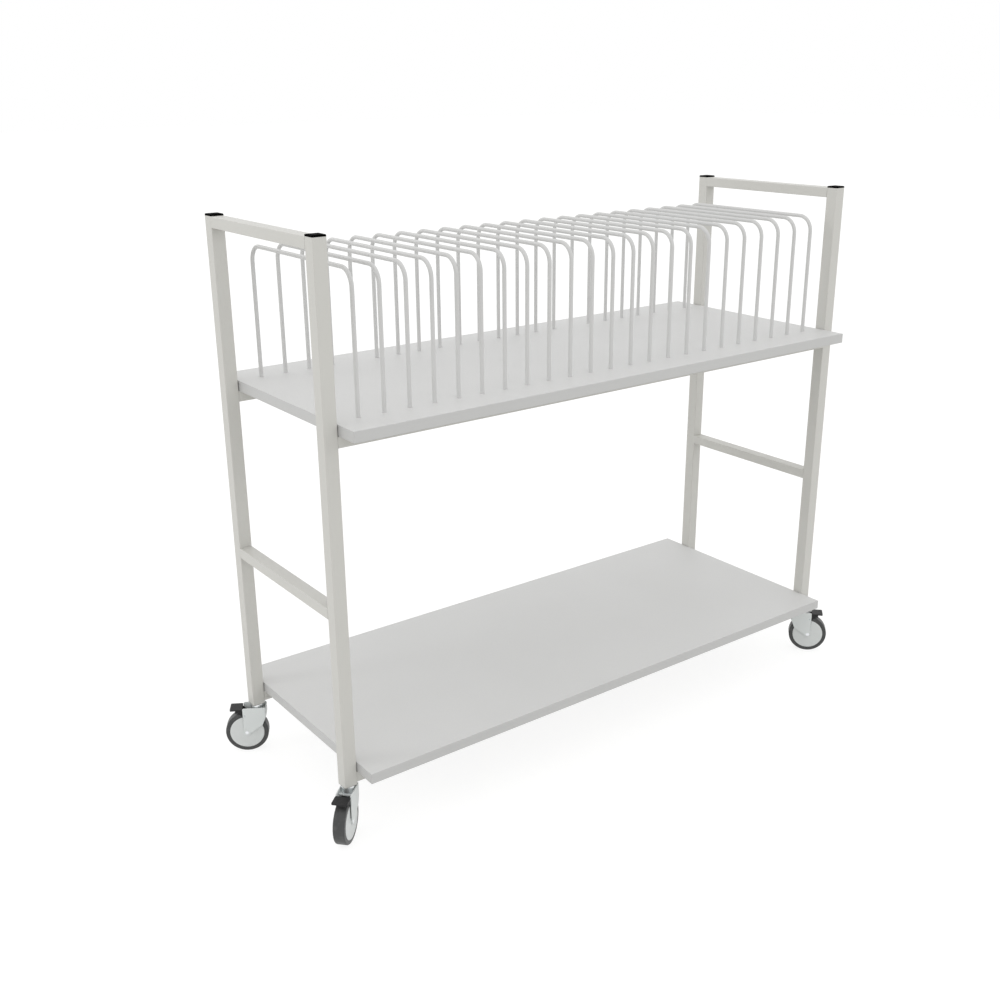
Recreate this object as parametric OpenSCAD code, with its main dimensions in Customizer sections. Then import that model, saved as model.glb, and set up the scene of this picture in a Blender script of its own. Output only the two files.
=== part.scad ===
// Folder storage rack on casters. Two tube side frames carry two shelf boards on beams,
// and a row of wire dividers stands in the upper shelf.
// Lengths are in millimetres. The floor is at Z = 0, X runs along the rack, and the front
// is towards -Y. The origin lies on the floor under the middle of the rack.

/* [Frame] */
// Length of the tube frame along X
frame_l = 1250; // [700:10:1600]
// Depth of the tube frame along Y
frame_d = 395; // [320:5:480]
// Length of an upright tube
upright_len = 965; // [920:5:1300]
// Side of the square upright tube, which is also the width of rails and beams
tube = 25; // [25:0.5:32]
// Height of the rails and beams
rail_h = 20; // [15:1:28]
// Wall of every tube
tube_wall = 1.5; // [1:0.1:2]
// Outer corner radius of every tube
tube_r = 1.2; // [0.8:0.1:2]
// Height of the middle rail's top above the uprights' lower ends
mid_rail_top = 342; // [200:1:500]

/* [Shelves] */
// Distance by which a shelf's edges stand out past the frame at the front and the back
shelf_overhang = 50; // [30:1:120]
// Thickness of a shelf board
board_t = 19.6; // [18:0.2:26]
// Gap between a shelf's end and the uprights
shelf_end_gap = 1.5; // [0.5:0.5:4]
// Thickness of the edging strips
edging_t = 1; // [1:0.5:3]
// Radius of the edging's outer arrises
edging_r = 0.8; // [0.3:0.1:0.9]
// Hairline gap where two edging strips meet
edging_joint = 0.1; // [0.05:0.05:0.3]
// Height of the lower beams' underside above the uprights' lower ends
lower_beam_rise = 4.4; // [4:0.2:60]
// Height of the upper shelf's top above the uprights' lower ends
upper_shelf_top = 668; // [540:1:700]

/* [Shelf screws] */
// Diameter of the screw shank
screw_d = 4; // [3:0.5:5]
// Diameter of the screw head
screw_head_d = 8; // [7:0.5:10]
// Height of the screw head
screw_head_h = 2.4; // [1.5:0.1:3]
// Length of the screw that reaches into the board
screw_bite = 12; // [8:1:15]
// Radial clearance of a screw in its hole
screw_clear = 0.1; // [0.05:0.05:0.3]

/* [Dividers] */
// Distance from one divider to the next
divider_pitch = 50; // [30:1:80]
// Least distance from the middle of the end dividers to the shelf's ends
divider_margin = 45; // [20:1:90]
// Diameter of the wire
wire_d = 7.5; // [5:0.5:10]
// Distance between the middles of a divider's two legs
divider_w = 356; // [250:2:420]
// Height of a divider's top above the shelf
divider_h = 245; // [150:1:280]
// Bend radius at the middle of the wire
divider_bend = 30; // [15:1:60]
// Depth of a leg in the shelf
leg_depth = 15; // [10:0.5:16]
// Radial clearance of a leg in its hole
leg_clear = 0.1; // [0.05:0.05:0.3]

/* [End caps] */
// Height of a cap above the upright
cap_h = 3.5; // [2.5:0.5:6]
// Radius of the cap's upper edges
cap_edge_r = 2; // [0.5:0.1:2]
// Length of the cap's plug inside the tube
cap_plug_len = 14; // [8:1:30]
// Wall of the hollow plug
cap_plug_wall = 2; // [1:0.5:3]
// Clearance between a plug or socket and the tube's inner wall
plug_clear = 0.15; // [0.05:0.05:0.4]

/* [Wheels] */
// Diameter over the tyre
wheel_d = 86; // [80:1:96]
// Thickness of the tyre from its tread down to the wheel's centre
tyre_t = 8.8; // [6:0.2:14]
// Width of the tyre
tyre_w = 22; // [16:1:24]
// Radius between the tyre's tread and its sides
tyre_edge_r = 2.5; // [1:0.5:5]
// Distance by which the wheel's centre stands proud of the tyre on each side
hub_proud = 0.4; // [0.2:0.1:0.6]
// Chamfer round the wheel's centre
hub_chamfer = 0.3; // [0.2:0.1:1]
// Diameter of the boss that spaces the wheel's centre from the fork
boss_d = 12; // [10:0.5:24]
// Running gap between the boss and the fork
boss_gap = 0.3; // [0.2:0.1:0.5]
// Clearance between the tyre and the wheel's centre
tyre_clear = 0.05; // [0.02:0.01:0.1]

/* [Forks] */
// Horizontal distance from the swivel axis back to the axle
trail = 22.5; // [20:0.5:28]
// Gap on each side between the tyre and the fork's inner faces
fork_side_gap = 2.1; // [1.8:0.1:4]
// Thickness of the fork's sides and front wall
fork_t = 1.6; // [1.2:0.1:2.5]
// Thickness of the crown, which joins the sides under the swivel
crown_t = 3; // [2.5:0.5:6]
// Height of the crown's underside above the top of the wheel
crown_gap = 0.6; // [0.5:0.1:4]
// Distance from the swivel axis to the crown's rear end
crown_back = 12.5; // [12:0.5:16]
// Height of the fork's sides above the crown
side_rise = 8.4; // [6.5:0.1:9.5]
// Distance from the swivel axis to the fork's front
fork_front = 18.5; // [15:0.5:24]
// Distance from the axle to the fork's rear edge
fork_back = 6; // [6:0.5:8]
// Height of the front wall, measured down from the top of the sides
front_wall_h = 18; // [8:1:24]
// Height above the axle at which the sides' front edge meets the wheel's centre
cheek_h = 15.5; // [8:0.5:24]
// Distance from the swivel axis forward to that point
cheek_front = 9.5; // [4:0.5:14]
// Radius of the fork's upper corners, seen from the side
fork_r = 3; // [1:0.5:3.5]
// Radius of the bends from the front wall to the sides
fork_bend = 4; // [3:0.5:6]
// Axle diameter
axle_d = 5.5; // [4:0.5:6]
// Diameter of the axle's rivet heads
axle_head_d = 7.5; // [7:0.5:10]
// Height of the axle's rivet heads
axle_head_h = 0.9; // [0.6:0.1:1.5]

/* [Swivels] */
// Gap on each side between the plated swivel cup and the fork
cup_side_gap = 1.1; // [0.6:0.1:3]
// Height of the plated swivel cup
cup_h = 13; // [9:0.5:16]
// Radius of the cup's edges
cup_r = 1; // [0.5:0.1:2]
// Thickness of the bearing ring under the cup
bearing_t = 1.4; // [1:0.1:3]
// Diameter of the king pin that the crown turns on
king_d = 9; // [8:0.5:10]
// Diameter of the king pin's rivet head
king_head_d = 14; // [13:0.5:16]
// Height of the king pin's rivet head
king_head_h = 1.8; // [1:0.1:1.9]
// Diameter of the stem in the socket
stem_d = 11; // [8:0.5:12]
// Length of the stem above the cup
stem_len = 38; // [25:1:60]
// Radial clearance of everything that turns on a pin
run_clear = 0.05; // [0.02:0.01:0.1]
// Gap between faces that turn past each other
face_gap = 0.15; // [0.1:0.05:0.3]
// Thickness of the socket's flange under the tube
flange_t = 1; // [0.5:0.1:2]
// Thickness of the socket above the stem
socket_roof = 4; // [2:0.5:8]

/* [Brake pedals] */
// Length of the pedal's tread plate
pedal_len = 24.5; // [22:0.5:30]
// Width of the pedal's tread plate
pedal_w = 29; // [27:0.5:32]
// Thickness of the pedal's tread plate
pedal_t = 2.5; // [2:0.5:5]
// Radius of the tread plate's corners
pedal_r = 2.5; // [1:0.5:4]
// Gap between the pedal and the fork's rear edge
pedal_gap = 0.6; // [0.5:0.1:2]
// Height of the tread plate's underside above the pedal's pins
tread_rise = 11.4; // [9:0.2:13]
// Diameter of the pedal's two short pins
pedal_pin_d = 3.5; // [2.5:0.5:4]
// Depth of the pins' middle below the top of the wheel
pedal_pin_drop = 4; // [3:0.5:5]
// Distance from the axle back to the pins
pedal_pin_behind = 2; // [1:0.5:2.5]
// Wall of the pedal's arms round the pins
pedal_pin_wall = 1.4; // [1:0.1:1.5]
// Gap on each side of an arm, to the fork and to the wheel's centre
pedal_side_gap = 0.3; // [0.2:0.05:0.35]
// Length of the arms' cheeks along the tread plate
cheek_len = 15; // [10:0.5:20]
// Gap between the axle's boss and the arms' lower ends
arm_foot_gap = 3; // [2:0.5:10]
// Width of the arms' lower ends
arm_foot_w = 3; // [2:0.5:4]
// Gap at rest between the brake shoe and the tyre
shoe_gap = 3; // [2.8:0.1:4]
// Width of the brake shoe
shoe_w = 16; // [10:1:18]

/* [Rest positions] */
// Direction in which the front left caster trails, in degrees from +X
swivel_front_left = 222.5; // [0:0.5:360]
// Direction in which the back left caster trails
swivel_back_left = 149; // [0:0.5:360]
// Direction in which the front right caster trails
swivel_front_right = 313; // [0:0.5:360]
// Direction in which the back right caster trails
swivel_back_right = 31; // [0:0.5:360]

/* [Hidden] */
$fn = 64;
// Extra length by which a cut runs past the surface that it opens
past = 1;
corners = ["front_left", "back_left", "front_right", "back_right"];
corner_x = [-1, -1, 1, 1];
corner_y = [-1, 1, -1, 1];
swivels = [swivel_front_left, swivel_back_left, swivel_front_right, swivel_back_right];
sides = ["left", "right"];
side_x = [-1, 1];
faces = ["front", "back"];
face_y = [-1, 1];

// Heights above the floor, from the wheels up
wheel_r = wheel_d / 2;
crown_z = wheel_d + crown_gap;
crown_top = crown_z + crown_t;
cup_z = crown_top + bearing_t + face_gap;
cup_top = cup_z + cup_h;
tube_z = cup_top + flange_t;
upright_top = tube_z + upright_len;
lower_top = tube_z + lower_beam_rise + rail_h + board_t;
upper_top = tube_z + upper_shelf_top;
beam_drop = board_t + rail_h;

// Places in plan
post_x = frame_l / 2 - tube / 2;
post_y = frame_d / 2 - tube / 2;
between_x = frame_l - 2 * tube;
between_y = frame_d - 2 * tube;
shelf_l = between_x - 2 * shelf_end_gap;
shelf_d = frame_d + 2 * shelf_overhang;
board_l = shelf_l - 2 * edging_t;
board_d = shelf_d - 2 * edging_t;

// Dividers fill the shelf's length, and the screws go up between them
divider_count = floor((shelf_l - 2 * divider_margin) / divider_pitch) + 1;
divider_x = [for (i = [0 : divider_count - 1]) (i - (divider_count - 1) / 2) * divider_pitch];
last_gap = divider_count - 2;
screw_gaps = [0, floor(last_gap / 3), last_gap - floor(last_gap / 3), last_gap];
screw_x = [for (g = screw_gaps) divider_x[g] + divider_pitch / 2];

// Fork and pedal, seen from the side with the swivel axis at 0
fork_in = tyre_w / 2 + fork_side_gap;
fork_out = fork_in + fork_t;
cup_d = 2 * (fork_in - cup_side_gap);
fork_top = crown_top + side_rise;
fork_rear = trail + fork_back;
hub_half = tyre_w / 2 + hub_proud;
boss_half = fork_in - boss_gap;
hub_r = wheel_r - tyre_t;
pedal_pin_x = trail + pedal_pin_behind;
pedal_pin_z = wheel_d - pedal_pin_drop;
pedal_arm_in = hub_half + pedal_side_gap;
pedal_arm_out = fork_in - pedal_side_gap;
pedal_front = fork_rear + pedal_gap;
pedal_eye_r = pedal_pin_d / 2 + pedal_pin_wall;
tread_z = pedal_pin_z + tread_rise;
arm_foot_z = wheel_r + boss_d / 2 + arm_foot_gap;
shoe_r = wheel_r + shoe_gap;
// The brake shoe reaches over this part of the tyre, in degrees from its top
shoe_start = 12;
shoe_end = 28;
socket_len = stem_len + socket_roof;

// A rectangle centred on the origin with round corners
module rounded_rect(w, h, r) {
    square([w - 2 * r, h], center = true);
    square([w, h - 2 * r], center = true);
    for (x = [-1, 1], y = [-1, 1])
        translate([x * (w / 2 - r), y * (h / 2 - r)]) circle(r);
}

// A hollow tube that stands on the XY plane
module hollow_tube(w, h, len) {
    difference() {
        linear_extrude(len) rounded_rect(w, h, tube_r);
        translate([0, 0, -past])
            linear_extrude(len + 2 * past)
                square([w - 2 * tube_wall, h - 2 * tube_wall], center = true);
    }
}

// Puts its children at one corner of the frame
module at_corner(i) {
    translate([corner_x[i] * post_x, corner_y[i] * post_y, 0]) children();
}

// Puts its children at one caster, turned so that +X is the way it trails
module at_caster(i) {
    at_corner(i) rotate([0, 0, swivels[i]]) children();
}

// An outline of X and Z extruded along Y, from the middle to both sides
module side_extrude(half) {
    translate([0, half, 0]) rotate([90, 0, 0]) linear_extrude(2 * half) children();
}

module upright(i) {
    color("#cccbc7") at_corner(i) translate([0, 0, tube_z]) hollow_tube(tube, tube, upright_len);
}

// A rail of a side frame, whose top is at height z
module rail(s, z) {
    color("#cccbc7")
        translate([side_x[s] * post_x, between_y / 2, z - rail_h / 2])
            rotate([90, 0, 0]) hollow_tube(tube, rail_h, between_y);
}

// A beam along X under a shelf whose top is at height z, drilled for the screws
module beam(f, z) {
    color("#c4c3bf")
        difference() {
            translate([-between_x / 2, face_y[f] * post_y, z - board_t - rail_h / 2])
                rotate([90, 0, 90]) hollow_tube(tube, rail_h, between_x);
            for (x = screw_x)
                translate([x, face_y[f] * post_y, z - beam_drop - past])
                    cylinder(h = rail_h + 2 * past, r = screw_d / 2 + screw_clear);
        }
}

// A shelf board without its edging, drilled from below for the screws
module board(z) {
    difference() {
        translate([-board_l / 2, -board_d / 2, z - board_t]) cube([board_l, board_d, board_t]);
        for (x = screw_x, y = face_y)
            translate([x, y * post_y, z - board_t - past])
                cylinder(h = screw_bite + screw_clear + past, r = screw_d / 2 + screw_clear);
    }
}

// Holes in the upper shelf for the dividers' legs
module leg_holes() {
    for (x = divider_x, y = face_y)
        translate([x, y * divider_w / 2, upper_top - leg_depth - leg_clear])
            cylinder(h = leg_depth + leg_clear + past, r = wire_d / 2 + leg_clear);
}

module upper_shelf() {
    color("#d4d4d2")
        difference() {
            board(upper_top);
            leg_holes();
        }
}

module lower_shelf() {
    color("#d4d4d2") board(lower_top);
}

// One edging strip along X, flat against a board on its -Y side, with its outer arrises round
module edging_strip(len) {
    rotate([90, 0, 90])
        linear_extrude(len)
            intersection() {
                square([edging_t, board_t]);
                union() {
                    translate([0, edging_r]) square([edging_t, board_t - 2 * edging_r]);
                    translate([edging_r, 0]) square([edging_t, board_t]);
                    for (z = [edging_r, board_t - edging_r])
                        translate([edging_r, z]) circle(edging_r);
                }
            }
}

// Four strips round a shelf: the long ones run past the short ones
module shelf_edging(z) {
    short_len = board_d - 2 * edging_joint;
    color("#bdbdbb")
        translate([0, 0, z - board_t])
            for (turn = [0, 180])
                rotate([0, 0, turn]) {
                    translate([-shelf_l / 2, -shelf_d / 2, 0]) edging_strip(shelf_l);
                    translate([shelf_l / 2, -short_len / 2, 0]) rotate([0, 0, 90]) edging_strip(short_len);
                }
}

// A quarter bend of the wire, from the top of a leg to the bar across
module wire_bend() {
    translate([0, -divider_bend, 0])
        rotate([90, 0, 90])
            rotate_extrude(angle = 90) translate([divider_bend, 0]) circle(d = wire_d);
}

// One divider, an upside-down U of round wire, with its legs' feet at Z = 0
module divider() {
    leg_len = leg_depth + divider_h - wire_d / 2 - divider_bend;
    for (turn = [0, 180])
        rotate([0, 0, turn])
            translate([0, divider_w / 2, 0]) {
                cylinder(h = leg_len, d = wire_d);
                translate([0, 0, leg_len]) wire_bend();
            }
    bar_len = divider_w - 2 * divider_bend;
    translate([0, bar_len / 2, leg_len + divider_bend])
        rotate([90, 0, 0]) cylinder(h = bar_len, d = wire_d);
}

module wire_dividers() {
    color("#c2c2c0")
        for (x = divider_x)
            translate([x, 0, upper_top - leg_depth]) divider();
}

// A round-headed screw with its head below Z = 0
module shelf_screw() {
    cylinder(h = rail_h + screw_bite, d = screw_d);
    translate([0, 0, -screw_head_h])
        cylinder(h = screw_head_h, d1 = screw_head_d - screw_head_h, d2 = screw_head_d);
}

module shelf_screws() {
    color("silver")
        for (x = screw_x, y = face_y, z = [lower_top, upper_top])
            translate([x, y * post_y, z - beam_drop]) shelf_screw();
}

// Profile of the cap's top, with its two upper corners round
module cap_profile() {
    translate([-tube / 2, 0]) square([tube, cap_h - cap_edge_r]);
    translate([cap_edge_r - tube / 2, 0]) square([tube - 2 * cap_edge_r, cap_h]);
    for (x = [-1, 1])
        translate([x * (tube / 2 - cap_edge_r), cap_h - cap_edge_r]) circle(cap_edge_r);
}

// Width of what fits inside an upright
function plug_w() = tube - 2 * tube_wall - 2 * plug_clear;

// A plastic cap with a hollow plug that pushes into the upright
module end_cap(i) {
    color("#151515")
        at_corner(i) translate([0, 0, upright_top]) {
            intersection() {
                linear_extrude(cap_h) rounded_rect(tube, tube, tube_r);
                side_extrude(tube) cap_profile();
                rotate([0, 0, 90]) side_extrude(tube) cap_profile();
            }
            translate([0, 0, -cap_plug_len])
                difference() {
                    linear_extrude(cap_plug_len) square(plug_w(), center = true);
                    translate([0, 0, -past])
                        linear_extrude(cap_plug_len + past)
                            square(plug_w() - 2 * cap_plug_wall, center = true);
                }
        }
}

// A flanged socket in the upright's lower end that holds the stem
module stem_socket(i) {
    color("#a8a8a5")
        at_corner(i)
            difference() {
                union() {
                    translate([0, 0, cup_top]) linear_extrude(flange_t) rounded_rect(tube, tube, tube_r);
                    translate([0, 0, cup_top])
                        linear_extrude(flange_t + socket_len) square(plug_w(), center = true);
                }
                translate([0, 0, cup_top - past])
                    cylinder(h = stem_len + run_clear + past, r = stem_d / 2 + run_clear);
            }
}

// Half section of the stem, its cup and the king pin with its rivet head
module stem_profile() {
    square_to = king_d / 2;
    head_top = crown_z - face_gap;
    translate([0, head_top - king_head_h]) square([king_head_d / 2, king_head_h]);
    translate([0, head_top]) square([square_to, cup_z - head_top]);
    translate([0, cup_z]) square([cup_d / 2 - cup_r, cup_h]);
    translate([0, cup_z + cup_r]) square([cup_d / 2, cup_h - 2 * cup_r]);
    for (z = [cup_z + cup_r, cup_top - cup_r])
        translate([cup_d / 2 - cup_r, z]) circle(cup_r);
    translate([0, cup_top]) square([stem_d / 2, stem_len]);
}

module caster_stem(i) {
    color("#e6e8ea") at_corner(i) rotate_extrude() stem_profile();
}

// A flat ring that the crown turns under
module swivel_bearing(i) {
    color("#c0c3c5")
        at_caster(i) translate([0, 0, crown_top])
            difference() {
                cylinder(h = bearing_t, d = cup_d - 2 * cup_r);
                translate([0, 0, -past])
                    cylinder(h = bearing_t + 2 * past, r = king_d / 2 + run_clear);
            }
}

// Where the line from point p touches a circle, on the circle's lower side as seen from p
function touch(p, c, r) =
    let (d = c - p, dist = norm(d), lean = atan2(d[1], d[0]) - asin(r / dist))
    p + sqrt(dist * dist - r * r) * [cos(lean), sin(lean)];

// Outline of a fork side, from the round end at the axle up to the top corners
module fork_side_outline() {
    axle = [trail, wheel_r];
    cheek = [-cheek_front, wheel_r + cheek_h];
    shoulder = fork_top - front_wall_h;
    polygon([
        [fork_rear, wheel_r], [fork_rear, fork_top - fork_r], [fork_rear - fork_r, fork_top],
        [fork_r - fork_front, fork_top], [-fork_front, fork_top - fork_r],
        [-fork_front, shoulder], cheek, touch(cheek, axle, fork_back), axle
    ]);
    translate(axle) circle(fork_back);
    for (x = [fork_r - fork_front, fork_rear - fork_r])
        translate([x, fork_top - fork_r]) circle(fork_r);
}

// Plan of the fork, open at the back, with its front corners round
module fork_plan(inset) {
    r = fork_bend - inset;
    half = fork_out - inset;
    front = inset - fork_front;
    translate([front + r, -half]) square([fork_rear + past - front - r, 2 * half]);
    translate([front, r - half]) square([r + past, 2 * (half - r)]);
    for (y = [-1, 1])
        translate([front + r, y * (half - r)]) circle(r);
}

// Fork: two sides, a front wall and a crown, made from one bent sheet
module caster_fork(i) {
    color("#bec3c3")
        at_caster(i)
            difference() {
                intersection() {
                    side_extrude(fork_out) fork_side_outline();
                    linear_extrude(fork_top + past) fork_plan(0);
                }
                translate([0, 0, crown_top]) linear_extrude(side_rise + past) fork_plan(fork_t);
                translate([0, 0, -past]) linear_extrude(crown_z + past) fork_plan(fork_t);
                translate([crown_back, -fork_in, 0]) cube([fork_rear, 2 * fork_in, fork_top + past]);
                translate([0, 0, crown_z - past])
                    cylinder(h = crown_t + 2 * past, r = king_d / 2 + run_clear);
                translate([trail, 0, wheel_r]) cross_bore(axle_d / 2 + run_clear);
                translate([pedal_pin_x, 0, pedal_pin_z]) cross_bore(pedal_pin_d / 2 + run_clear);
            }
}

// A bore across the fork, along Y
module cross_bore(r) {
    translate([0, fork_out + past, 0]) rotate([90, 0, 0]) cylinder(h = 2 * (fork_out + past), r = r);
}

// A riveted axle with a low round head at each end
module wheel_axle(i) {
    color("#eceeef")
        at_caster(i) translate([trail, 0, wheel_r])
            rotate([90, 0, 0])
                rotate_extrude() {
                    translate([0, -fork_out]) square([axle_d / 2, 2 * fork_out]);
                    for (turn = [0, 1])
                        mirror([0, turn]) translate([0, fork_out]) rivet_head_profile();
                }
}

// Half section of a low domed head: a circle cut off at the seat
module rivet_head_profile() {
    seat_r = axle_head_d / 2;
    dome_r = (seat_r * seat_r + axle_head_h * axle_head_h) / (2 * axle_head_h);
    intersection() {
        translate([0, axle_head_h - dome_r]) circle(dome_r);
        square([seat_r, axle_head_h]);
    }
}

// Wheel's centre: a flat disc with a boss round the axle on each side
module wheel_centre(i) {
    bore_r = axle_d / 2 + run_clear;
    color("#bfc4c4")
        at_caster(i) translate([trail, 0, wheel_r])
            rotate([90, 0, 0])
                rotate_extrude() {
                    translate([bore_r, -boss_half]) square([boss_d / 2 - bore_r, 2 * boss_half]);
                    polygon([
                        [bore_r, -hub_half], [hub_r - hub_chamfer, -hub_half],
                        [hub_r, hub_chamfer - hub_half], [hub_r, hub_half - hub_chamfer],
                        [hub_r - hub_chamfer, hub_half], [bore_r, hub_half]
                    ]);
                }
}

module tyre(i) {
    inner_r = hub_r + tyre_clear;
    edge_x = wheel_r - tyre_edge_r;
    edge_y = tyre_w / 2 - tyre_edge_r;
    color("#4c4c4d")
        at_caster(i) translate([trail, 0, wheel_r])
            rotate([90, 0, 0])
                rotate_extrude() {
                    translate([inner_r, -tyre_w / 2]) square([edge_x - inner_r, tyre_w]);
                    translate([inner_r, -edge_y]) square([wheel_r - inner_r, 2 * edge_y]);
                    for (y = [-edge_y, edge_y])
                        translate([edge_x, y]) circle(tyre_edge_r);
                }
}

// Two short pins, one through each side of the fork into the pedal's arm
module pedal_pins(i) {
    color("#d6d8da")
        at_caster(i) translate([pedal_pin_x, 0, pedal_pin_z])
            for (turn = [0, 1])
                mirror([0, turn, 0])
                    translate([0, fork_out, 0])
                        rotate([90, 0, 0]) cylinder(h = fork_out - pedal_arm_in, d = pedal_pin_d);
}

// Outline of the brake shoe: a pad whose underside follows the tyre
module shoe_outline() {
    steps = 6;
    arc = [for (i = [0 : steps]) shoe_start + (shoe_end - shoe_start) * i / steps];
    under = [for (a = arc) [trail + shoe_r * sin(a), wheel_r + shoe_r * cos(a)]];
    polygon(concat(under, [[under[steps][0], tread_z + past], [under[0][0], tread_z + past]]));
}

// Black pedal: a tread plate behind the fork, a brake shoe under it and an arm on each side
module brake_pedal(i) {
    color("#2b2b2c")
        at_caster(i)
            difference() {
                union() {
                    translate([pedal_front + pedal_len / 2, 0, tread_z])
                        linear_extrude(pedal_t) rounded_rect(pedal_len, pedal_w, pedal_r);
                    side_extrude(shoe_w / 2) shoe_outline();
                    for (turn = [0, 1])
                        mirror([0, turn, 0]) pedal_arm();
                }
                translate([pedal_pin_x, 0, pedal_pin_z]) cross_bore(pedal_pin_d / 2 + run_clear);
            }
}

// One arm: an eye on the pin, a cheek under the tread plate, and a narrow foot that reaches down
// between the fork's side and the wheel
module pedal_arm() {
    translate([0, pedal_arm_out, 0])
        rotate([90, 0, 0])
            linear_extrude(pedal_arm_out - pedal_arm_in) {
                translate([pedal_pin_x, pedal_pin_z]) circle(pedal_eye_r);
                polygon([
                    [pedal_pin_x, pedal_pin_z + pedal_eye_r], [pedal_front + pedal_r, tread_z],
                    [pedal_front + pedal_r, tread_z + past], [pedal_front + cheek_len, tread_z + past],
                    [pedal_front + cheek_len, tread_z], [pedal_front, pedal_pin_z - pedal_eye_r],
                    [fork_rear, arm_foot_z], [fork_rear - arm_foot_w, arm_foot_z],
                    [pedal_pin_x - pedal_eye_r, pedal_pin_z]
                ]);
            }
}

for (i = [0 : 3]) {
    upright(i);
    end_cap(i);
    stem_socket(i);
    caster_stem(i);
    swivel_bearing(i);
    caster_fork(i);
    wheel_axle(i);
    wheel_centre(i);
    tyre(i);
    brake_pedal(i);
    pedal_pins(i);
}
for (s = [0 : 1]) {
    rail(s, upright_top);
    rail(s, tube_z + mid_rail_top);
    beam(s, upper_top);
    beam(s, lower_top);
}
upper_shelf();
shelf_edging(upper_top);  // upper_shelf_edging
lower_shelf();
shelf_edging(lower_top);  // lower_shelf_edging
wire_dividers();
shelf_screws();
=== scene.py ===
# %% [markdown]
# # A folder storage rack
# The rack is mostly square steel tube with a light grey powder coat. Two faced boards lie on its
# beams, a row of bent wires stands in the upper one, and it rolls on four casters with brakes.
# The solids come from the CAD frame with their true sizes, so this lesson is about the rest: the
# camera, the light, and materials that each start from what the real piece is made of.

# %% Load the rack
import math

import bpy
from mathutils import Matrix, Vector


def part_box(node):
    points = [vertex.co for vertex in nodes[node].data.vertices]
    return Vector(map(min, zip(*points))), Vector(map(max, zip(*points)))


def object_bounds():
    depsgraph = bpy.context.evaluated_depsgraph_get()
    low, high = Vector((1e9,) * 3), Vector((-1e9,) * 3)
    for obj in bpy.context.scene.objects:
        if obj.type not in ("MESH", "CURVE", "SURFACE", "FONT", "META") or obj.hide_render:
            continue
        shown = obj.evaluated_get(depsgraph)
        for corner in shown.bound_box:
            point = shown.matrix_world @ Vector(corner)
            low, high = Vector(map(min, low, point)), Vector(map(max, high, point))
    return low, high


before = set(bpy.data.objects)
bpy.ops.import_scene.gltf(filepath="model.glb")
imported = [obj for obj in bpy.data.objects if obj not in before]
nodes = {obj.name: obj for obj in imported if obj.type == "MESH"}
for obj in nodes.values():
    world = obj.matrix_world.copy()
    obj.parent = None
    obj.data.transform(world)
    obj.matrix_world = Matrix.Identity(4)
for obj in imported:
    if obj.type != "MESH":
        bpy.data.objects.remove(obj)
cad_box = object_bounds()
print(len(nodes), "CAD nodes, size", [round(v, 4) for v in cad_box[1] - cad_box[0]])

# %% [markdown]
# ## Camera
# The photograph was taken from the front left, a little above the rack, so its uprights lean
# towards each other at the bottom. Edges that run away from the camera say most about the lens,
# and the shelves have long ones. Matching them first gave the place, the turn, the tilt and the
# focal length that are written below.

# %% Camera
TUBE_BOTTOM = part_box("upright_front_left")[0].z
CAMERA_PLACE = Vector((-1.47745, -1.81999, TUBE_BOTTOM + 1.19491))
CAMERA_TURN = 0.6363
CAMERA_TILT = -0.3485
CAMERA_ROLL = -0.0079
SENSOR_WIDTH = 36.0
FOCAL_LENGTH = 42.683
SHIFT = (0.0006, 0.0042)


def add_camera():
    """A camera that looks along +Y, then is turned about Z, tilted and rolled."""
    data = bpy.data.cameras.new("camera")
    data.sensor_width = SENSOR_WIDTH
    data.lens = FOCAL_LENGTH
    data.shift_x, data.shift_y = SHIFT
    camera = bpy.data.objects.new("camera", data)
    bpy.context.scene.collection.objects.link(camera)
    turn = Matrix.Rotation(-CAMERA_TURN, 4, "Z")
    tilt = Matrix.Rotation(math.pi / 2 + CAMERA_TILT, 4, "X")
    roll = Matrix.Rotation(CAMERA_ROLL, 4, "Z")
    camera.matrix_world = Matrix.Translation(CAMERA_PLACE) @ turn @ tilt @ roll
    bpy.context.scene.camera = camera
    return camera


print("camera stands at", tuple(round(v, 3) for v in add_camera().matrix_world.translation))

# %% [markdown]
# ## Colours and nodes
# A material is a small graph of nodes. One helper adds a node, sets its options and either fills
# in or links each input, so that a material below reads from top to bottom like a recipe.
# Colours are written as the hex values that a paint chart gives, and turned linear once.

# %% Helpers for materials
MM = 0.001


def linear(hex_colour):
    """The linear colour, with alpha, of an sRGB hex value."""
    parts = [int(hex_colour[i:i + 2], 16) / 255 for i in (1, 3, 5)]
    return [v / 12.92 if v <= 0.04045 else ((v + 0.055) / 1.055) ** 2.4 for v in parts] + [1.0]


def add(tree, kind, inputs=None, **settings):
    """Adds one node, applies its settings, and fills in or links the inputs given by name."""
    node = tree.nodes.new("ShaderNode" + kind)
    for name, value in settings.items():
        setattr(node, name, value)
    for name, value in (inputs or {}).items():
        if isinstance(value, bpy.types.NodeSocket):
            tree.links.new(value, node.inputs[name])
        else:
            node.inputs[name].default_value = value
    return node


def per_metre(size_mm):
    """Scale of a texture whose features are to be about this many millimetres across."""
    return 1 / (size_mm * MM)


def new_material(name):
    """A material with an empty tree, and the socket that gives a point's place in metres."""
    material = bpy.data.materials.new(name)
    material.use_nodes = True
    tree = material.node_tree
    tree.nodes.clear()
    return material, tree, add(tree, "TexCoord").outputs["Object"]


# %% [markdown]
# ## Floor, backdrop and light
# The photograph has a plain white ground, and its light comes from everywhere, as in a white
# tent. A large pale floor and a white world do that. To the camera and in reflections the floor
# glows white, and a share of what it shows is still lit, so the rack keeps a soft shadow. Trying
# each light alone showed that the tent gives nearly all the tones of the photograph. Three weak
# lamps round the rack only give that even light a faint direction.

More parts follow.
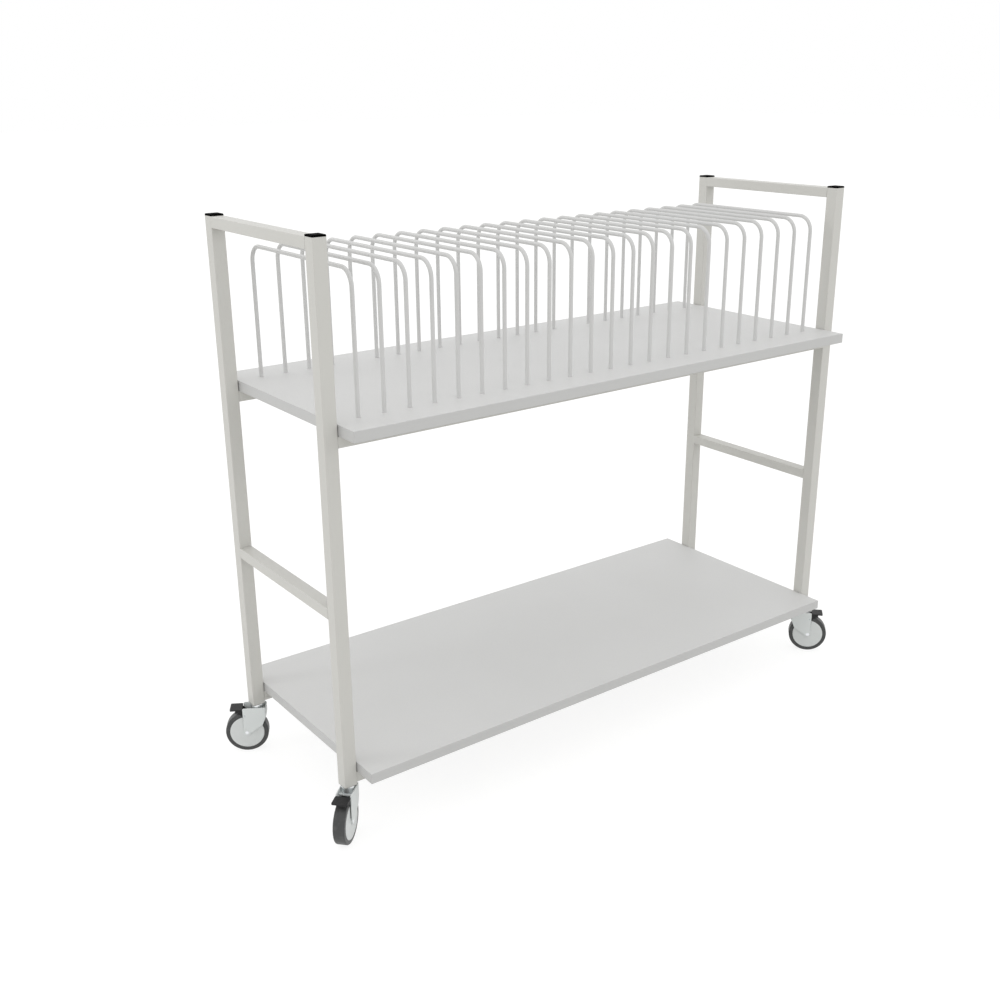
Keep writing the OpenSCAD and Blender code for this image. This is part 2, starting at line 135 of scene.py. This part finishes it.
# %% Studio
FLOOR_SIZE = 60.0
SHADOW_SHARE = 0.33
FLOOR_GLOW = 1.27
WORLD_LEVEL = 1.0
LAMP_SIZE = 0.8
LAMPS = {
    "left": {"place": Vector((-4.2, 1.5, 2.6)), "power": 14},
    "front_right": {"place": Vector((1.6, -4.2, 2.6)), "power": 9},
    "back_left": {"place": Vector((-1.3, 4.2, 2.6)), "power": 6},
}


def seen_directly(tree):
    """1 for rays from the camera, off glossy surfaces and through clear ones, otherwise 0."""
    path = add(tree, "LightPath")
    seen = path.outputs["Is Camera Ray"]
    for name in ("Is Glossy Ray", "Is Transmission Ray"):
        seen = add(tree, "Math", {0: seen, 1: path.outputs[name]}, operation="MAXIMUM").outputs[0]
    return seen


def add_world():
    """White to the camera and in reflections, and an even pale light on everything else."""
    world = bpy.data.worlds.new("studio")
    world.use_nodes = True
    tree = world.node_tree
    tree.nodes.clear()
    level = add(tree, "MapRange", {"Value": seen_directly(tree), "To Min": WORLD_LEVEL, "To Max": 1.0})
    glow = add(tree, "Background", {"Color": linear("#ffffff"), "Strength": level.outputs["Result"]})
    add(tree, "OutputWorld", {"Surface": glow.outputs["Background"]})
    bpy.context.scene.world = world


def floor_material():
    """Pale floor paint that glows white where it is seen directly, with a share left for shadow."""
    material, tree, _ = new_material("pale_floor_paint")
    paint = add(tree, "BsdfDiffuse", {"Color": linear("#d8d8d6")})
    glow = add(tree, "Emission", {"Color": linear("#ffffff"), "Strength": FLOOR_GLOW})
    share = add(tree, "Math", {0: seen_directly(tree), 1: 1 - SHADOW_SHARE}, operation="MULTIPLY")
    mix = add(tree, "MixShader", {0: share.outputs[0], 1: paint.outputs[0], 2: glow.outputs[0]})
    add(tree, "OutputMaterial", {"Surface": mix.outputs[0]})
    return material


def add_floor():
    """One large square at the height of the tyres' lowest points."""
    bpy.ops.mesh.primitive_plane_add(size=FLOOR_SIZE, location=(0, 0, cad_box[0].z))
    floor = bpy.context.object
    floor.name = "floor"
    floor.data.materials.append(floor_material())


def add_lamp(name, place, power):
    """A square area lamp that faces the middle of the rack."""
    data = bpy.data.lights.new(name, "AREA")
    data.size = LAMP_SIZE
    data.energy = power
    lamp = bpy.data.objects.new(name, data)
    middle = (cad_box[0] + cad_box[1]) / 2
    lamp.location = place
    lamp.rotation_euler = (middle - place).to_track_quat("-Z", "Y").to_euler()
    bpy.context.scene.collection.objects.link(lamp)


bpy.context.scene.view_settings.view_transform = "Standard"
add_world()
add_floor()
for lamp_name, lamp in LAMPS.items():
    add_lamp(lamp_name, **lamp)
print("lamps:", [light.name for light in bpy.data.lights])

# %% [markdown]
# ## Edges
# Painted and moulded pieces have edges that the eye reads as a thin paler line. The bevel node
# finds them: near an edge its normal turns away from the face's own normal. The dot product of
# the two is 1 on a face and falls at an edge, which gives both a mask and a rounder look.
# Through the mask a paler colour is painted along the edges as a highlight, and on the moulded plastics
# it also marks scuffed wear.

# %% Edge mask
EDGE_STARTS = 0.99
EDGE_IS_FULL = 0.8
BEVEL_SAMPLES = 6


def edge_mask(tree, width_mm):
    """A mask that is 1 along sharp edges and 0 on faces, with the rounded normal beside it."""
    soft = add(tree, "Bevel", {"Radius": width_mm * MM}, samples=BEVEL_SAMPLES).outputs["Normal"]
    hard = add(tree, "NewGeometry").outputs["Normal"]
    same = add(tree, "VectorMath", {0: soft, 1: hard}, operation="DOT_PRODUCT").outputs["Value"]
    mask = add(tree, "MapRange", {"Value": same, "From Min": EDGE_STARTS, "From Max": EDGE_IS_FULL})
    return mask.outputs["Result"], soft


def edge_highlight_and_wear(tree, edges, colour, edge_highlight_and_wear_colour, share):
    """A painted highlight: a colour that turns paler along edges, as far as the share says; on moulded
    plastics the share follows scuffed wear.
    """
    edge_amount = add(tree, "Math", {0: edges, 1: share}, operation="MULTIPLY").outputs[0]
    mixed = add(tree, "MixRGB", {"Fac": edge_amount, "Color1": colour, "Color2": linear(edge_highlight_and_wear_colour)})
    return mixed.outputs["Color"]


# %% [markdown]
# ## Clouds of tone
# No real surface is one flat colour. A soft noise in patches a few millimetres to a hand wide
# makes each finish wander by a share too small to see as a pattern. The noise node's values
# crowd round one half, so a ramp between the two levels below uses nearly all of its contrast.

# %% Clouds of tone
NOISE_LOW = 0.3
NOISE_HIGH = 0.7


def tinted(tree, place, colour, spread, size_mm):
    """A colour that wanders lighter and darker by a small share, in patches of a given size."""
    cloud = add(tree, "TexNoise", {"Vector": place, "Scale": per_metre(size_mm), "Detail": 3.0})
    tone = add(tree, "MapRange", {"Value": cloud.outputs["Fac"],
                                  "From Min": NOISE_LOW, "From Max": NOISE_HIGH,
                                  "To Min": 1 - spread, "To Max": 1 + spread})
    mixed = add(tree, "MixRGB", {"Fac": 1.0, "Color1": linear(colour), "Color2": tone.outputs["Result"]},
                blend_type="MULTIPLY")
    return mixed.outputs["Color"]


# %% [markdown]
# ## Powder coat
# The tubes are welded first and then coated with a polyester powder that melts in an oven. It
# leaves a satin film with a faint orange peel, a few millimetres from bump to bump, and it thins
# over the tube's corners, which look rounder than a sharp bend would; a painted highlight makes
# them slightly paler.

# %% Powder-coated steel
PEEL_GLOSS = 0.06


def powder_coat(name, colour, edge_highlight_and_wear_colour, peel_mm, roughness):
    """Polyester powder on steel: a satin film with an orange peel, rounded and with a painted highlight
    at edges.
    """
    material, tree, place = new_material(name)
    edges, soft = edge_mask(tree, width_mm=1.0)
    base = tinted(tree, place, colour, spread=0.012, size_mm=140)
    # Painted highlight: the edges are painted in a paler colour.
    paint = edge_highlight_and_wear(tree, edges, base, edge_highlight_and_wear_colour, share=0.5)
    peel = add(tree, "TexNoise", {"Vector": place, "Scale": per_metre(peel_mm), "Detail": 2.0})
    gloss = add(tree, "MapRange", {"Value": peel.outputs["Fac"],
                                   "To Min": roughness - PEEL_GLOSS, "To Max": roughness + PEEL_GLOSS})
    skin = add(tree, "Bump", {"Height": peel.outputs["Fac"], "Strength": 0.25, "Distance": 0.12 * MM,
                              "Normal": soft})
    shader = add(tree, "BsdfPrincipled", {"Base Color": paint, "IOR": 1.5,
                                          "Roughness": gloss.outputs["Result"],
                                          "Normal": skin.outputs["Normal"]})
    add(tree, "OutputMaterial", {"Surface": shader.outputs[0]})
    return material


# The second colour given to each coat is the one painted along its edges as a highlight.
FRAME_PAINT = powder_coat("powder_coat_light_grey", "#cecdc8", "#e0dfdb", peel_mm=3.0, roughness=0.42)
WIRE_PAINT = powder_coat("powder_coat_wire", "#d0d0cf", "#dededd", peel_mm=2.2, roughness=0.36)
FORK_PAINT = powder_coat("powder_coat_pressed_fork", "#e4e8e7", "#e9eceb", peel_mm=2.0, roughness=0.4)
print("painted finishes:", FRAME_PAINT.name, WIRE_PAINT.name, FORK_PAINT.name)

# %% [markdown]
# ## Melamine-faced board
# The shelves are chipboard with a printed paper, soaked in melamine resin, pressed on both sides.
# A plain grey paper has a very fine speckle, and the press plate gives it a matt pearl of
# about a millimetre. Over a wide board the sheen drifts a little, where hands and folders rub it.

# %% Melamine-faced chipboard
def melamine_board():
    """Matt melamine on chipboard: fine speckle, pearl texture and a slow drift in sheen."""
    material, tree, place = new_material("melamine_faced_chipboard")
    base = tinted(tree, place, "#d5d5d4", spread=0.01, size_mm=260)
    grit = add(tree, "TexNoise", {"Vector": place, "Scale": per_metre(1.6), "Detail": 4.0,
                                  "Roughness": 0.7})
    speckle = add(tree, "MapRange", {"Value": grit.outputs["Fac"], "From Min": 0.35, "From Max": 0.65,
                                     "To Min": 0.975, "To Max": 1.02})
    face = add(tree, "MixRGB", {"Fac": 1.0, "Color1": base, "Color2": speckle.outputs["Result"]},
               blend_type="MULTIPLY")
    pearl = add(tree, "TexVoronoi", {"Vector": place, "Scale": per_metre(1.2)}, feature="SMOOTH_F1")
    rubbed = add(tree, "TexNoise", {"Vector": place, "Scale": per_metre(190), "Detail": 5.0})
    gloss = add(tree, "MapRange", {"Value": rubbed.outputs["Fac"],
                                   "From Min": NOISE_LOW, "From Max": NOISE_HIGH,
                                   "To Min": 0.44, "To Max": 0.56})
    skin = add(tree, "Bump", {"Height": pearl.outputs["Distance"], "Strength": 0.2,
                              "Distance": 0.06 * MM})
    shader = add(tree, "BsdfPrincipled", {"Base Color": face.outputs["Color"], "IOR": 1.5,
                                          "Roughness": gloss.outputs["Result"],
                                          "Normal": skin.outputs["Normal"]})
    add(tree, "OutputMaterial", {"Surface": shader.outputs[0]})
    return material


BOARD = melamine_board()
print("board finish:", BOARD.name)

# %% [markdown]
# ## ABS edging
# The boards' cut sides are covered with extruded ABS strips, glued on and trimmed flush. The die
# leaves faint lines along the strip. Stretching a noise along X and Y and packing it along Z
# draws them on every side at once, since the lines always run level round the board.

# %% Extruded ABS edging
def abs_edging():
    """Extruded ABS: matt, a touch darker than the board, with level lines from the die."""
    material, tree, place = new_material("extruded_abs_edging")
    edges, soft = edge_mask(tree, width_mm=0.6)
    base = tinted(tree, place, "#c6c6c5", spread=0.01, size_mm=120)
    # Painted highlight: the strip's edges are painted a paler grey.
    strip = edge_highlight_and_wear(tree, edges, base, "#d9d9d8", share=0.4)
    packed = add(tree, "Mapping", {"Vector": place, "Scale": (0.02, 0.02, 1.0)})
    lines = add(tree, "TexNoise", {"Vector": packed.outputs["Vector"], "Scale": per_metre(1.4),
                                   "Detail": 3.0})
    gloss = add(tree, "MapRange", {"Value": lines.outputs["Fac"], "To Min": 0.38, "To Max": 0.54})
    skin = add(tree, "Bump", {"Height": lines.outputs["Fac"], "Strength": 0.25, "Distance": 0.05 * MM,
                              "Normal": soft})
    shader = add(tree, "BsdfPrincipled", {"Base Color": strip, "IOR": 1.53,
                                          "Roughness": gloss.outputs["Result"],
                                          "Normal": skin.outputs["Normal"]})
    add(tree, "OutputMaterial", {"Surface": shader.outputs[0]})
    return material


EDGING = abs_edging()
print("edging finish:", EDGING.name)

# %% [markdown]
# ## Moulded caps, sockets and pedals
# The end caps are soft black polyethylene, the pedals black glass-filled nylon, and the stem
# sockets grey nylon. All come out of a spark-eroded mould, which leaves a grain of about half a
# millimetre. Handling polishes the grain, and edges that meet shoes and walls turn paler first.

# %% Moulded plastics
SCUFF_GLOSS = 0.1


def moulded_plastic(name, colour, worn_colour, grain_mm, roughness, wear, shine):
    """Grained plastic: matt faces, paler scuffed edges, and a faint shine where rubbed."""
    material, tree, place = new_material(name)
    edges, soft = edge_mask(tree, width_mm=0.8)
    scuffs = add(tree, "TexNoise", {"Vector": place, "Scale": per_metre(5), "Detail": 5.0})
    worn = add(tree, "MapRange", {"Value": scuffs.outputs["Fac"], "From Min": 0.35, "From Max": 0.7,
                                  "To Min": 0.0, "To Max": wear})
    base = tinted(tree, place, colour, spread=0.06, size_mm=12)
    body = edge_highlight_and_wear(tree, edges, base, worn_colour, share=worn.outputs["Result"])
    grain = add(tree, "TexNoise", {"Vector": place, "Scale": per_metre(grain_mm), "Detail": 2.0})
    gloss = add(tree, "MapRange", {"Value": scuffs.outputs["Fac"], "To Min": roughness - SCUFF_GLOSS,
                                   "To Max": roughness + SCUFF_GLOSS})
    skin = add(tree, "Bump", {"Height": grain.outputs["Fac"], "Strength": 0.35, "Distance": 0.1 * MM,
                              "Normal": soft})
    shader = add(tree, "BsdfPrincipled", {"Base Color": body,
                                          "Specular IOR Level": shine,
                                          "Roughness": gloss.outputs["Result"],
                                          "Normal": skin.outputs["Normal"]})
    add(tree, "OutputMaterial", {"Surface": shader.outputs[0]})
    return material


CAP_PLASTIC = moulded_plastic("moulded_polyethylene_cap", "#030303", "#161616",
                              grain_mm=0.5, roughness=0.6, wear=0.5, shine=0.01)
SOCKET_PLASTIC = moulded_plastic("moulded_nylon_socket", "#a6a6a3", "#bcbcb9",
                                 grain_mm=0.6, roughness=0.5, wear=0.4, shine=0.4)
PEDAL_PLASTIC = moulded_plastic("glass_filled_nylon_pedal", "#262627", "#555555",
                                grain_mm=0.7, roughness=0.45, wear=0.8, shine=0.25)
print("moulded finishes:", CAP_PLASTIC.name, SOCKET_PLASTIC.name, PEDAL_PLASTIC.name)

# %% [markdown]
# ## Bare and plated metal
# The swivel cup and stem are turned steel with nickel and chrome, polished to a satin, so they
# mirror the fork, the pedal and the room in soft tall stripes. Rivets, screws and the bearing
# ring have thinner zinc, which is greyer. A metal's colour is what it reflects, so its base is
# pale.

# %% Plated and bare steel
def plated_steel(name, colour, roughness, spread, turning_mm):
    """Steel with a metal plating: mirror or satin, with fine level marks from turning."""
    material, tree, place = new_material(name)
    packed = add(tree, "Mapping", {"Vector": place, "Scale": (0.05, 0.05, 1.0)})
    marks = add(tree, "TexNoise", {"Vector": packed.outputs["Vector"], "Scale": per_metre(turning_mm),
                                   "Detail": 3.0})
    haze = add(tree, "TexNoise", {"Vector": place, "Scale": per_metre(6), "Detail": 4.0})
    gloss = add(tree, "MapRange", {"Value": haze.outputs["Fac"],
                                   "From Min": NOISE_LOW, "From Max": NOISE_HIGH,
                                   "To Min": roughness - spread, "To Max": roughness + spread})
    skin = add(tree, "Bump", {"Height": marks.outputs["Fac"], "Strength": 0.15, "Distance": 0.02 * MM})
    plating = tinted(tree, place, colour, spread=0.02, size_mm=9)
    shader = add(tree, "BsdfPrincipled", {"Base Color": plating, "Metallic": 1.0,
                                          "Roughness": gloss.outputs["Result"],
                                          "Normal": skin.outputs["Normal"]})
    add(tree, "OutputMaterial", {"Surface": shader.outputs[0]})
    return material


CHROME = plated_steel("chrome_plated_stem", "#f2f4f5", roughness=0.32, spread=0.04, turning_mm=0.6)
RIVET = plated_steel("bright_zinc_rivet", "#e3e6e8", roughness=0.22, spread=0.05, turning_mm=0.8)
ZINC = plated_steel("zinc_plated_steel", "#c9cdd0", roughness=0.36, spread=0.08, turning_mm=0.8)
BEARING = plated_steel("zinc_plated_bearing_ring", "#d2d5d7", roughness=0.32, spread=0.06, turning_mm=0.5)
print("metals:", CHROME.name, RIVET.name, ZINC.name, BEARING.name)

# %% [markdown]
# ## Wheels
# The wheel's centre is moulded polypropylene: smooth, slightly waxy, light bluish grey. The tyre
# is a dark grey thermoplastic rubber moulded round it. Its fresh tread has a wide satin shine
# where it turns upwards, and dust settles in its grain in pale patches.

# %% Wheel centre and tyre
def moulded_polypropylene():
    """Light grey polypropylene: smooth with slow flow marks and a waxy shine."""
    material, tree, place = new_material("moulded_polypropylene_wheel")
    edges, soft = edge_mask(tree, width_mm=0.8)
    base = tinted(tree, place, "#e0e3e2", spread=0.012, size_mm=14)
    # Painted highlight: the wheel centre's edges are painted a paler grey.
    body = edge_highlight_and_wear(tree, edges, base, "#e9eceb", share=0.4)
    flow = add(tree, "TexNoise", {"Vector": place, "Scale": per_metre(9), "Detail": 2.0})
    gloss = add(tree, "MapRange", {"Value": flow.outputs["Fac"], "To Min": 0.32, "To Max": 0.48})
    skin = add(tree, "Bump", {"Height": flow.outputs["Fac"], "Strength": 0.2, "Distance": 0.1 * MM,
                              "Normal": soft})
    shader = add(tree, "BsdfPrincipled", {"Base Color": body, "IOR": 1.49,
                                          "Roughness": gloss.outputs["Result"],
                                          "Normal": skin.outputs["Normal"]})
    add(tree, "OutputMaterial", {"Surface": shader.outputs[0]})
    return material


def grey_rubber():
    """Dark grey rubber: wide satin shine, fine moulded grain and pale dust in patches."""
    material, tree, place = new_material("thermoplastic_rubber_tyre")
    base = tinted(tree, place, "#3d3e3e", spread=0.05, size_mm=20)
    dust = add(tree, "TexNoise", {"Vector": place, "Scale": per_metre(11), "Detail": 6.0,
                                  "Roughness": 0.65})
    patches = add(tree, "MapRange", {"Value": dust.outputs["Fac"], "From Min": 0.5, "From Max": 0.75,
                                     "To Min": 0.0, "To Max": 0.16})
    body = add(tree, "MixRGB", {"Fac": patches.outputs["Result"], "Color1": base,
                                "Color2": linear("#8c8b88")})
    grain = add(tree, "TexNoise", {"Vector": place, "Scale": per_metre(0.8), "Detail": 3.0})
    gloss = add(tree, "MapRange", {"Value": dust.outputs["Fac"], "To Min": 0.34, "To Max": 0.52})
    skin = add(tree, "Bump", {"Height": grain.outputs["Fac"], "Strength": 0.4, "Distance": 0.1 * MM})
    shader = add(tree, "BsdfPrincipled", {"Base Color": body.outputs["Color"], "IOR": 1.52,
                                          "Roughness": gloss.outputs["Result"],
                                          "Normal": skin.outputs["Normal"]})
    add(tree, "OutputMaterial", {"Surface": shader.outputs[0]})
    return material


WHEEL_PLASTIC = moulded_polypropylene()
RUBBER = grey_rubber()
print("wheel finishes:", WHEEL_PLASTIC.name, RUBBER.name)

# %% [markdown]
# ## Dress the solids
# Each CAD node keeps its mesh and gets its real finish. Node names begin with what the piece is,
# so a short list of beginnings is enough to find the finish of all of them.

# %% Finish of each node
FINISHES = {
    "upright": FRAME_PAINT,
    "top_rail": FRAME_PAINT,
    "mid_rail": FRAME_PAINT,
    "upper_beam": FRAME_PAINT,
    "lower_beam": FRAME_PAINT,
    "upper_shelf": BOARD,
    "lower_shelf": BOARD,
    "upper_shelf_edging": EDGING,
    "lower_shelf_edging": EDGING,
    "wire_dividers": WIRE_PAINT,
    "shelf_screws": ZINC,
    "end_cap": CAP_PLASTIC,
    "stem_socket": SOCKET_PLASTIC,
    "caster_stem": CHROME,
    "swivel_bearing": BEARING,
    "caster_fork": FORK_PAINT,
    "wheel_axle": RIVET,
    "wheel_centre": WHEEL_PLASTIC,
    "tyre": RUBBER,
    "brake_pedal": PEDAL_PLASTIC,
    "pedal_pin": ZINC,
}


def finish_of(node_name):
    """The finish whose name is the longest beginning of the node's name."""
    return FINISHES[max((k for k in FINISHES if node_name.startswith(k)), key=len)]


for node_name, node in nodes.items():
    node.data.materials.clear()
    node.data.materials.append(finish_of(node_name))
print("dressed", len(nodes), "nodes in", len(set(finish_of(n).name for n in nodes)), "finishes")
